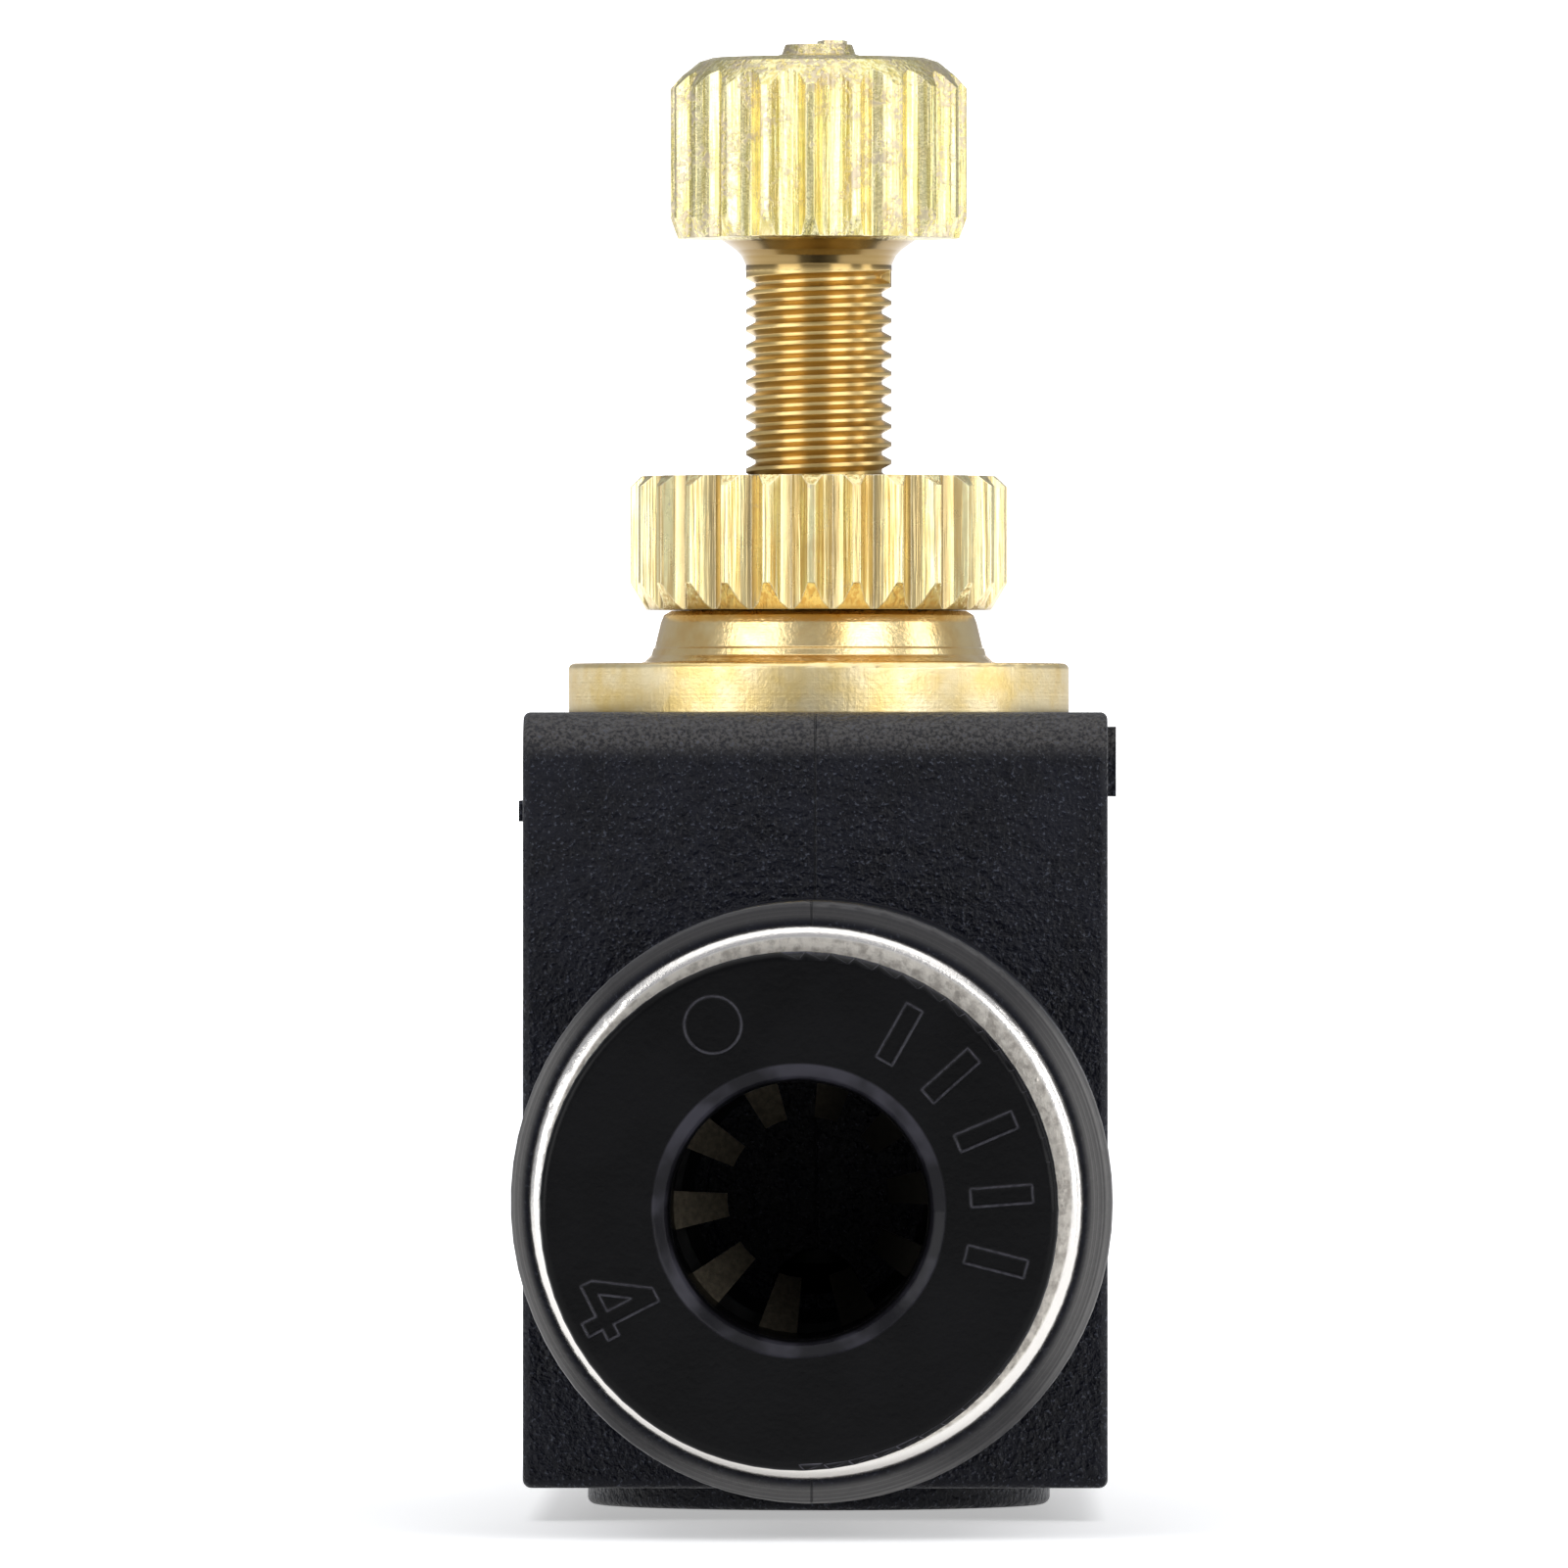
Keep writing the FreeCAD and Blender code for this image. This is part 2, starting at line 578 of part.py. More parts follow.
def make_check_lip_seal(doc):
    low = "sleeve_foot_top + 0.02"
    high = "sleeve_flange_bottom - 0.05"
    turned_body(doc, "check_lip_seal", [
        ("sleeve_waist_radius + 0.02", low),
        ("sleeve_foot_radius", low),
        ("check_tip_radius", "sleeve_foot_top + 0.5"),
        ("check_tip_radius", "sleeve_foot_top + 0.62"),
        ("check_tip_radius - 0.07", "sleeve_foot_top + 0.62"),
        ("sleeve_waist_radius + 0.25", "sleeve_foot_top + 0.3"),
        ("sleeve_waist_radius + 0.25", high),
        ("sleeve_waist_radius + 0.02", high),
    ])


def make_o_ring(doc, name, major, minor, level):
    ring = doc.addObject("Part::Torus", name)
    ring.Label = name
    ring.setExpression("Radius1", formula(major))
    ring.setExpression("Radius2", formula(minor))
    ring.setExpression("Placement.Base.z", formula(level))


def turn_about_z(body, angle):
    """Turn a part about the needle axis, or about the tube axis before it is placed."""
    body.Placement = FreeCAD.Placement(FreeCAD.Vector(), FreeCAD.Rotation(FreeCAD.Vector(0, 0, 1), DIM[angle]))


def cut_knurl(doc, body, part, bottom, top):
    """One groove the length of the knurl, with flatter flanks near its floor, repeated round the axis."""
    groove = make_sketch(body, part + "_groove_outline", "XY_Plane", lift=bottom + " - 0.5")
    rim = part + "_radius"
    knee = "%s - %s_groove_knee" % (rim, part)
    knee_half = part + "_groove_knee_half"
    mouth_half = part + "_groove_mouth_half"
    add_outline(groove, [
        ("%s - %s_groove_depth" % (rim, part), "0"),
        (knee, knee_half),
        (rim + " + 0.2", mouth_half),
        (rim + " + 0.2", "0 - " + mouth_half),
        (knee, "0 - " + knee_half),
    ])
    cut = extrude(body, "Pocket", part + "_groove", groove, "%s - %s + 1" % (top, bottom), back=True)
    doc.recompute()
    repeat_round(body, part + "_knurl", cut, part + "_teeth")
    doc.recompute()


def cut_thread(doc, body):
    """Helical V groove with a narrow flat floor, right-handed."""
    profile = make_sketch(body, "thread_groove_outline", "XZ_Plane", shift="thread_start + 0.1")
    add_outline(profile, [
        ("thread_root", "0 - thread_half_floor"),
        ("thread_radius + 0.02", "0 - thread_half_mouth"),
        ("thread_radius + 0.02", "thread_half_mouth"),
        ("thread_root", "thread_half_floor"),
    ])
    helix = body.newObject("PartDesign::SubtractiveHelix", "thread")
    helix.Profile = profile
    helix.ReferenceAxis = (datum(body, "Z_Axis"), [""])
    helix.Mode = 0
    helix.Pitch = DIM["thread_pitch"]
    helix.Height = DIM["thread_end"] - DIM["thread_start"] - 0.2
    helix.Turns = helix.Height.Value / DIM["thread_pitch"]
    helix.Angle = 0
    helix.Growth = 0
    helix.LeftHanded = False
    helix.Reversed = False
    helix.setExpression("Pitch", formula("thread_pitch"))
    helix.setExpression("Height", formula("thread_end - thread_start - 0.2"))
    doc.recompute()


def make_needle_screw(doc):
    body = turned_body(doc, "needle_screw", [
        ("0", "needle_tip"),
        ("needle_tip_radius", "needle_tip"),
        ("needle_radius", "needle_taper_top"),
        ("needle_radius", "needle_shoulder"),
        ("stem_radius", "needle_shoulder + 0.15"),
        ("stem_radius", "stem_groove_bottom"),
        ("stem_groove_radius", "stem_groove_bottom"),
        ("stem_groove_radius", "stem_groove_top"),
        ("stem_radius", "stem_groove_top"),
        ("stem_radius", "thread_start"),
        ("thread_radius", "thread_start + 0.25"),
        ("thread_radius", "thread_end"),
        ("neck_radius", "thread_end"),
        ("neck_radius", "neck_top"),
        ("neck_radius + 0.07", "neck_top + 0.15"),
        ("neck_radius + 0.16", "neck_top + 0.25"),
        ("neck_radius + 0.3", "neck_top + 0.35"),
        ("flare_radius", "knob_bottom"),
        ("knob_foot_radius", "knob_bottom"),
        ("knob_radius", "knob_bottom + knob_foot_height"),
        ("knob_radius", "knob_top - knob_crown_height"),
        ("knob_cheek_radius", "knob_top - 0.3"),
        ("knob_brow_radius", "knob_top - 0.07"),
        ("knob_crown_radius", "knob_top"),
        ("nib_radius + 0.22", "knob_top"),
        ("nib_radius", "knob_top + 0.07"),
        ("nib_top_radius", "nib_low"),
        ("0", "nib_low"),
    ])
    cut_knurl(doc, body, "knob", "knob_bottom", "knob_top")
    nib = make_sketch(body, "nib_outline", "XY_Plane", lift="nib_low - 0.05")
    add_outline(nib, [("0.05", "0 - 0.42"), ("0.38", "0 - 0.36"), ("0.5", "0.05"),
                      ("0.3", "0.42"), ("0.02", "0.5")])
    extrude(body, "Pad", "nib_break", nib, "nib_high - nib_low + 0.05")
    doc.recompute()
    cut_thread(doc, body)
    turn_about_z(body, "knob_turn")


def make_lock_nut(doc):
    body = turned_body(doc, "lock_nut", [
        ("thread_bore_radius + nut_bore_chamfer", "nut_bottom"),
        ("nut_foot_radius", "nut_bottom"),
        ("nut_radius", "nut_bottom + nut_foot_height"),
        ("nut_radius", "nut_top - nut_crown_height"),
        ("nut_crown_radius", "nut_top"),
        ("thread_bore_radius + nut_bore_chamfer", "nut_top"),
        ("thread_bore_radius", "nut_top - nut_bore_chamfer"),
        ("thread_bore_radius", "nut_bottom + nut_bore_chamfer"),
    ])
    cut_knurl(doc, body, "nut", "nut_bottom", "nut_top")
    turn_about_z(body, "nut_turn")


def make_guide_ring(doc, side, facing):
    body = turned_body(doc, side + "_guide_ring", [
        ("mouth_bore_radius", "mouth_funnel_floor"),
        ("mouth_funnel_radius", "mouth_face"),
        ("mouth_radius", "mouth_face"),
        ("mouth_radius", "mouth_back"),
        ("mouth_recess_radius", "mouth_back"),
        ("mouth_recess_radius", "mouth_shoulder"),
        ("mouth_bore_radius", "mouth_shoulder"),
    ])
    round_edges(doc, body, side + "_rolled_edge", "mouth_round",
                lambda edge: near(edge.BoundBox.ZMin, DIM["mouth_face"]) and edge.Length > 1.0)
    place_in_port(body, facing)


def make_grip_ring(doc, side, facing):
    """Flat rim with claws bent inwards, cut apart by wedge-shaped slots."""
    low = "claw_face - claw_thickness"
    body = turned_body(doc, side + "_grip_ring", [
        ("claw_root_radius", "claw_face"),
        ("claw_ring_radius", "claw_face"),
        ("claw_ring_radius", low),
        ("claw_root_radius", low),
        ("claw_tip_radius", low + " - claw_drop"),
        ("claw_tip_radius", "claw_face - claw_drop"),
    ])
    slot = make_sketch(body, side + "_claw_slot_outline", "XY_Plane", lift=low + " - claw_drop - 0.2")
    add_outline(slot, [("0.2", "0 - 0.034"), ("3.1", "0 - 0.533"), ("3.1", "0.533"), ("0.2", "0.034")])
    cut = extrude(body, "Pocket", side + "_claw_slot", slot, "claw_drop + claw_thickness + 0.4", back=True)
    doc.recompute()
    repeat_round(body, side + "_claw_slots", cut, "claw_count")
    doc.recompute()
    place_in_port(body, facing, DIM["claw_turn"])


def make_backup_ring(doc, side, facing):
    body = turned_body(doc, side + "_backup_ring", [
        ("backup_bore_radius", "backup_back"),
        ("backup_radius", "backup_back"),
        ("backup_radius", "backup_front"),
        ("backup_cone_radius", "backup_front"),
        ("backup_bore_radius", "backup_cone_floor"),
    ])
    place_in_port(body, facing)


def make_port_seal(doc, side, facing):
    """Lip seal with a solid heel and two lips that face the pressure."""
    body = turned_body(doc, side + "_port_seal", [
        ("seal_heel_radius", "seal_front"),
        ("seal_radius", "seal_front"),
        ("seal_radius", "seal_back"),
        ("seal_radius - 0.35", "seal_back"),
        ("seal_radius - 0.6", "seal_web"),
        ("seal_heel_radius + 0.45", "seal_web"),
        ("seal_lip_radius + 0.25", "seal_back"),
        ("seal_lip_radius", "seal_back + 0.1"),
        ("seal_heel_radius", "seal_web"),
    ])
    place_in_port(body, facing)


def cut_size_mark(doc, body, side):
    """Numeral for the 4 mm tube size, its top towards the bore."""
    up = math.radians(27.0)
    across = up - math.pi / 2
    outline = [(0.0, 0.26), (0.0, 0.46), (0.56, 1.3), (0.8, 1.3), (0.8, 0.46), (1.0, 0.46),
               (1.0, 0.26), (0.8, 0.26), (0.8, 0.0), (0.56, 0.0), (0.56, 0.26)]
    counter = [(0.25, 0.46), (0.56, 0.46), (0.56, 0.93)]
    sketch = make_sketch(body, side + "_size_mark_outline", "XY_Plane", lift="collar_face")
    for loop in (outline, counter):
        corners = []
        for right, rise in loop:
            x = (rise - 0.65) * math.cos(up) + (right - 0.5) * math.cos(across)
            y = (rise - 0.65) * math.sin(up) + (right - 0.5) * math.sin(across)
            corners.append(("%.4f" % (x - 3.02), "%.4f" % (y - 1.51)))
        add_outline(sketch, corners)
    extrude(body, "Pocket", side + "_size_mark", sketch, "mark_depth")
    doc.recompute()


def cut_dot_mark(doc, body, side):
    angle = math.radians(114.8)
    sketch = make_sketch(body, side + "_dot_outline", "XY_Plane", lift="collar_face")
    x = "%.4f" % (DIM["dot_distance"] * math.cos(angle))
    y = "%.4f" % (DIM["dot_distance"] * math.sin(angle))
    add_circle(sketch, x, y, "dot_radius")
    extrude(body, "Pocket", side + "_dot", sketch, "mark_depth")
    doc.recompute()


def cut_bar_marks(doc, body, side):
    """Five plain bars fanned over the right-hand side of the face."""
    start = math.radians(-14.4)
    sketch = make_sketch(body, side + "_bar_outline", "XY_Plane", lift="collar_face")
    corners = []
    ends = [("bar_inner", -1), ("bar_outer", -1), ("bar_outer", 1), ("bar_inner", 1)]
    for reach, edge in ends:
        x = DIM[reach] * math.cos(start) - edge * DIM["bar_half_width"] * math.sin(start)
        y = DIM[reach] * math.sin(start) + edge * DIM["bar_half_width"] * math.cos(start)
        corners.append(("%.4f" % x, "%.4f" % y))
    add_outline(sketch, corners)
    cut = extrude(body, "Pocket", side + "_bar", sketch, "mark_depth")
    doc.recompute()
    repeat_round(body, side + "_bars", cut, "5", span=74.8)
    doc.recompute()


def make_release_collar(doc, side, facing):
    body = turned_body(doc, side + "_release_collar", [
        ("collar_bore_radius", "collar_nose"),
        ("collar_nose_radius", "collar_nose"),
        ("collar_neck_radius", "collar_barb_back - 0.1"),
        ("collar_barb_radius", "collar_barb_back + 0.2"),
        ("collar_barb_radius", "collar_barb_front"),
        ("collar_neck_radius", "collar_barb_front"),
        ("collar_neck_radius", "collar_head_back"),
        ("collar_head_radius", "collar_head_back"),
        ("collar_head_radius", "collar_face"),
        ("collar_entry_radius", "collar_face"),
        ("collar_entry_radius - 0.18", "collar_face - 0.1"),
        ("collar_bore_radius", "collar_face - collar_entry_depth"),
    ])
    round_edges(doc, body, side + "_head_edge", "collar_head_round",
                lambda edge: is_circle(edge, DIM["collar_head_radius"])
                and near(edge.BoundBox.ZMin, DIM["collar_face"]))
    cut_size_mark(doc, body, side)
    cut_dot_mark(doc, body, side)
    cut_bar_marks(doc, body, side)
    place_in_port(body, facing)
    side_play = " - " if facing == FRONT else " + "
    body.setExpression("Placement.Base.x", "-Dims.port_shift" + side_play + "Dims.collar_play")
    body.setExpression("Placement.Base.z", "Dims.tube_height - Dims.collar_play")


def make_port_parts(doc, side, facing):
    make_guide_ring(doc, side, facing)
    make_grip_ring(doc, side, facing)
    make_backup_ring(doc, side, facing)
    make_port_seal(doc, side, facing)
    make_release_collar(doc, side, facing)


def part_nodes(doc):
    kinds = ("PartDesign::Body", "Part::Torus")
    return [item for item in doc.Objects if item.TypeId in kinds]


def check_and_write(doc):
    doc.recompute()
    for item in doc.Objects:
        if "Invalid" in item.State or "Error" in item.State:
            raise RuntimeError("feature failed: " + item.Name)
    os.makedirs("parts", exist_ok=True)
    for item in part_nodes(doc):
        shape = item.Shape
        if shape.isNull() or not shape.isValid() or len(shape.Solids) != 1:
            raise RuntimeError("bad shape: " + item.Label)
        shape.exportStep(os.path.join("parts", item.Label + ".step"))
        print("%-22s %9.3f mm3" % (item.Label, shape.Volume))


def main():
    doc = FreeCAD.newDocument("flow_control_valve")
    make_sheet(doc)
    make_housing(doc)
    make_needle_guide(doc)
    make_o_ring(doc, "guide_o_ring", "guide_ring_major", "guide_ring_minor", "guide_ring_level")
    make_seat_sleeve(doc)
    make_check_lip_seal(doc)
    make_needle_screw(doc)
    make_o_ring(doc, "stem_o_ring", "stem_ring_major", "stem_ring_minor", "stem_ring_level")
    make_lock_nut(doc)
    make_port_parts(doc, "front", FRONT)
    make_port_parts(doc, "rear", REAR)
    check_and_write(doc)


main()
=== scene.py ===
import math

import bpy
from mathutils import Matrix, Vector

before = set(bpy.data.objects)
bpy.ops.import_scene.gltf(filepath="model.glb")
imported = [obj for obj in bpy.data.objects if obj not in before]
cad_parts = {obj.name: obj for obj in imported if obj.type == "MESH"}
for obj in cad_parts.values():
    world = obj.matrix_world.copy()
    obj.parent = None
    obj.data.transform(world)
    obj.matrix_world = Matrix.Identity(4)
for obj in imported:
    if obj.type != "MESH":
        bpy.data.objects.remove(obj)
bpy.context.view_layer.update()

MM = 0.001

# Where one region of the valve turns into the next: start and end of the change, in millimetres.
BLOCK_END = (9.52, 9.56)
BARREL_FACE = (18.05, 18.25)
COLLAR_FACE = (19.72, 19.8)
BROW = (12.85, 13.25)
FLANGE_FOOT = (13.6, 13.7)
FLANGE_TOP = (14.5, 14.56)
NECK = (21.3, 21.45)
KNOB = (21.84, 21.92)
PORT_EDGE = (4.62, 4.78)
RING_LIP = (4.36, 4.42)
NUT_FLUTE = (2.98, 3.16)
NUT_FLUTE_FLOOR = (2.98, 3.05)

# Axes along the tube: how far each one lies to the left, and its height, in millimetres.
PORT_AXIS = (0.09, 5.56)
COLLAR_AXIS = (0.2, 5.45)

# ---------------------------------------------------------------- shader building blocks


class Shader:
    """One node material. Points are read in the frame's own metres, turned to millimetres."""

    def __init__(self, name):
        self.material = bpy.data.materials.new(name)
        self.material.use_nodes = True
        self.nodes = self.material.node_tree.nodes
        self.links = self.material.node_tree.links
        self.nodes.clear()
        self.out = self.nodes.new("ShaderNodeOutputMaterial")
        self.bsdf = self.nodes.new("ShaderNodeBsdfPrincipled")
        self.join(self.bsdf.outputs["BSDF"], self.out.inputs["Surface"])
        coordinates = self.nodes.new("ShaderNodeTexCoord")
        self.point = self.vector("SCALE", coordinates.outputs["Object"], scale=1.0 / MM)
        parts = self.nodes.new("ShaderNodeSeparateXYZ")
        self.join(self.point, parts.inputs[0])
        self.x, self.y, self.z = parts.outputs

    def join(self, source, socket):
        """Link another node's output to a socket, or set the socket to a plain value."""
        if hasattr(source, "is_linked"):
            self.links.new(source, socket)
        else:
            socket.default_value = source

    def vector(self, kind, a, b=None, scale=None):
        node = self.nodes.new("ShaderNodeVectorMath")
        node.operation = kind
        self.join(a, node.inputs[0])
        if b is not None:
            self.join(b, node.inputs[1])
        if scale is not None:
            node.inputs["Scale"].default_value = scale
        return node.outputs["Value"] if kind in ("LENGTH", "DOT_PRODUCT") else node.outputs["Vector"]

    def math(self, kind, a, b=0.0):
        node = self.nodes.new("ShaderNodeMath")
        node.operation = kind
        self.join(a, node.inputs[0])
        self.join(b, node.inputs[1])
        return node.outputs[0]

    def combine(self, x, y, z):
        node = self.nodes.new("ShaderNodeCombineXYZ")
        for socket, value in zip(node.inputs, (x, y, z)):
            self.join(value, socket)
        return node.outputs[0]

    def noise(self, size, detail=2.0, rough=0.5, at=None):
        """Noise whose blobs are about `size` millimetres across."""
        node = self.nodes.new("ShaderNodeTexNoise")
        self.join(self.point if at is None else at, node.inputs["Vector"])
        node.inputs["Scale"].default_value = 1.0 / size
        node.inputs["Detail"].default_value = detail
        node.inputs["Roughness"].default_value = rough
        return node.outputs["Fac"]

    def ramp(self, value, low, high, start=0.0, end=1.0):
        """Smooth change from start to end as the value goes from low to high."""
        node = self.nodes.new("ShaderNodeMapRange")
        node.interpolation_type = "SMOOTHSTEP"
        self.join(value, node.inputs["Value"])
        node.inputs["From Min"].default_value = low
        node.inputs["From Max"].default_value = high
        node.inputs["To Min"].default_value = start
        node.inputs["To Max"].default_value = end
        return node.outputs["Result"]

    def mix(self, factor, a, b):
        node = self.nodes.new("ShaderNodeMix")
        node.data_type = "RGBA"
        self.join(factor, node.inputs["Factor"])
        self.join(a, node.inputs["A"])
        self.join(b, node.inputs["B"])
        return node.outputs["Result"]

    def band(self, value, centre, half, soft):
        """1 within `half` of the centre, falling to 0 over `soft`."""
        away = self.math("ABSOLUTE", self.math("SUBTRACT", value, centre))
        return self.ramp(away, half, half + soft, 1.0, 0.0)

    def rounded(self, reach):
        """Normal that runs smoothly round edges, over about `reach` millimetres."""
        bevel = self.nodes.new("ShaderNodeBevel")
        bevel.samples = 6
        bevel.inputs["Radius"].default_value = reach * MM
        return bevel.outputs["Normal"]

    def edges(self, reach):
        """1 along edges and corners within about `reach` millimetres, 0 on open faces."""
        face = self.nodes.new("ShaderNodeNewGeometry")
        agreement = self.vector("DOT_PRODUCT", self.rounded(reach), face.outputs["True Normal"])
        return self.ramp(self.math("SUBTRACT", 1.0, agreement), 0.03, 0.25)

    def radius(self):
        """Distance from the needle axis."""
        return self.vector("LENGTH", self.combine(self.x, self.y, 0.0))

    def tube_radius(self, axis):
        """Distance from an axis along the tube, given as its shift to the left and its height."""
        shift, level = axis
        across = self.math("ADD", self.x, shift)
        return self.vector("LENGTH", self.combine(across, 0.0, self.math("SUBTRACT", self.z, level)))

    def times(self, a, b):
        return self.math("MULTIPLY", a, b)

    def blend(self, factor, share, colour, over):
        """Lay one colour over another where factor is 1, with `share` as its strength there."""
        return self.mix(self.times(factor, share), colour, over)

    def height(self, *layers, rounding=0.0):
        """Stack bump layers of (height field, depth in millimetres) on edges rounded by `rounding`."""
        normal = self.rounded(rounding) if rounding else None
        for field, depth in layers:
            node = self.nodes.new("ShaderNodeBump")
            node.inputs["Strength"].default_value = 1.0
            node.inputs["Distance"].default_value = depth * MM
            self.join(field, node.inputs["Height"])
            if normal is not None:
                self.join(normal, node.inputs["Normal"])
            normal = node.outputs["Normal"]
        self.join(normal, self.bsdf.inputs["Normal"])

    def set(self, **values):
        """Join values or fields to the surface's own sockets."""
        for name, value in values.items():
            self.join(value, self.bsdf.inputs[name.replace("_", " ")])


# ---------------------------------------------------------------- materials

LEMON_BRASS = (0.93, 0.85, 0.47, 1)
WARM_BRASS = (0.85, 0.66, 0.31, 1)
TAN_BRASS = (0.74, 0.56, 0.25, 1)
DEEP_BRASS_AND_SHADE = (0.66, 0.47, 0.19, 1)
OLIVE_BRASS = (0.70, 0.60, 0.22, 1)
VALLEY_PAINTED_SHADE = (0.36, 0.28, 0.14, 1)
BRASS_PAINTED_HIGHLIGHT = (1.0, 0.96, 0.78, 1)
GREY_TARNISH = (0.56, 0.47, 0.38, 1)
THREAD_DARK = (0.52, 0.36, 0.13, 1)
THREAD_LIGHT = (0.74, 0.55, 0.24, 1)
NECK_PAINTED_SHADE = (0.27, 0.18, 0.07, 1)
CONE_PALE = (0.96, 0.75, 0.38, 1)
CONE_GOLD = (0.88, 0.60, 0.23, 1)
FLANGE_GOLD = (0.84, 0.63, 0.25, 1)
FLANGE_PALE = (0.94, 0.80, 0.50, 1)
HOUSING_DARK = (0.0005, 0.0007, 0.0032, 1)
HOUSING_LIGHT = (0.0022, 0.0027, 0.0070, 1)
BROW_PAINTED_HIGHLIGHT = (0.075, 0.070, 0.066, 1)
PAINTED_GRAIN_GLINT = (0.052, 0.057, 0.076, 1)
RIM_PAINTED_SHEEN = (0.056, 0.054, 0.054, 1)
RIM_PAINTED_HIGHLIGHT = (0.17, 0.165, 0.16, 1)
RIM_GROOVE = (0.02, 0.02, 0.023, 1)
PARTING_LINE = (0.001, 0.001, 0.002, 1)
COLLAR_DARK = (0.0012, 0.0012, 0.0014, 1)
COLLAR_LIGHT = (0.0024, 0.0024, 0.0028, 1)
COLLAR_PAINTED_EDGE_HIGHLIGHT = (0.115, 0.112, 0.134, 1)
COLLAR_ENTRY_HIGHLIGHT = (0.05, 0.048, 0.062, 1)
NICKEL_STAINED = (0.80, 0.75, 0.67, 1)
NICKEL_DULL = (0.46, 0.42, 0.37, 1)
NICKEL_BRIGHT = (0.82, 0.79, 0.75, 1)
STEEL_LIGHT = (0.17, 0.145, 0.105, 1)
STEEL_DARK = (0.11, 0.095, 0.07, 1)
STEEL_PAINTED_SHADE = (0.03, 0.027, 0.022, 1)
BLACK_LOW = (0.006, 0.006, 0.006, 1)
BLACK_HIGH = (0.014, 0.014, 0.014, 1)
PAPER_WHITE = (0.9, 0.9, 0.9, 1)
WHITE = (1, 1, 1, 1)


def upright(s, size, detail=2.0):
    """Noise drawn out into lines parallel to the needle axis."""
    stretch = 0.03
    return s.noise(size, detail, 0.6, at=s.combine(s.x, s.y, s.times(s.z, stretch)))


def brass_knob():
    """Needle screw: drawn and tarnished knob with painted highlights along its edges, deeper gold on the
    thread, painted shade on the neck under the knob.
    """
    s = Shader("brass_screw")
    lines = upright(s, 0.08, 3.0)
    cloud = s.noise(0.8, 3.0, 0.6)
    fine = s.noise(0.09, 3.0, 0.6)
    on_knob = s.ramp(s.z, *KNOB)
    colour = s.mix(s.ramp(lines, 0.42, 0.58), OLIVE_BRASS, LEMON_BRASS)
    # Painted highlight: near-white brass along every edge of the knob.
    colour = s.blend(s.edges(0.05), 0.6, colour, BRASS_PAINTED_HIGHLIGHT)
    colour = s.blend(s.ramp(cloud, 0.4, 0.7), 0.4, colour, WARM_BRASS)
    patch = s.ramp(s.noise(0.7, 4.0, 0.65), 0.46, 0.58)
    spots = s.times(s.times(patch, s.ramp(fine, 0.42, 0.56)), on_knob)
    colour = s.blend(spots, 0.75, colour, GREY_TARNISH)
    turned = s.noise(0.12, 1.0, 0.5, at=s.combine(s.z, 0.0, 0.0))
    shank = s.mix(s.ramp(turned, 0.35, 0.65), THREAD_DARK, THREAD_LIGHT)
    # Painted shade: the neck under the knob is darkened to brown.
    above_thread = s.ramp(s.z, *NECK)
    shank = s.blend(above_thread, 0.85, shank, NECK_PAINTED_SHADE)
    colour = s.mix(on_knob, shank, colour)
    dull = s.math("ADD", s.ramp(above_thread, 0.0, 1.0, 0.28, 0.2), s.times(on_knob, 0.06))
    rough = s.math("ADD", dull, s.times(spots, 0.12))
    s.set(Base_Color=colour, Metallic=1.0, Roughness=rough)
    s.height((s.times(lines, on_knob), 0.016), (s.times(fine, on_knob), 0.007), (spots, 0.004), rounding=0.03)
    return s.material


def brass_nut():
    """Lock nut: fine drawn lines, painted highlights on the tooth edges and painted shade in the flutes and
    on their floors.
    """
    s = Shader("brass_nut")
    lines = upright(s, 0.07)
    cloud = s.noise(0.7, 3.0, 0.6)
    fine = s.noise(0.08, 3.0, 0.6)
    colour = s.mix(s.ramp(lines, 0.4, 0.56), TAN_BRASS, LEMON_BRASS)
    colour = s.blend(s.ramp(cloud, 0.5, 0.7), 0.35, colour, DEEP_BRASS_AND_SHADE)
    # Painted shade: darker towards the bottom of the flutes.
    colour = s.blend(s.ramp(s.radius(), *NUT_FLUTE, 1.0, 0.0), 0.6, colour, DEEP_BRASS_AND_SHADE)
    colour = s.blend(s.ramp(s.noise(0.14, 2.0, 0.5), 0.68, 0.76), 0.5, colour, GREY_TARNISH)
    # Painted shade: darkest on the flute floors.
    colour = s.blend(s.ramp(s.radius(), *NUT_FLUTE_FLOOR, 1.0, 0.0), 0.75, colour, VALLEY_PAINTED_SHADE)
    # Painted highlight: near-white brass along every tooth edge.
    colour = s.blend(s.edges(0.05), 0.7, colour, BRASS_PAINTED_HIGHLIGHT)
    s.set(Base_Color=colour, Metallic=1.0, Roughness=s.ramp(cloud, 0.3, 0.7, 0.25, 0.31))
    s.height((lines, 0.018), (fine, 0.0012), rounding=0.03)
    return s.material


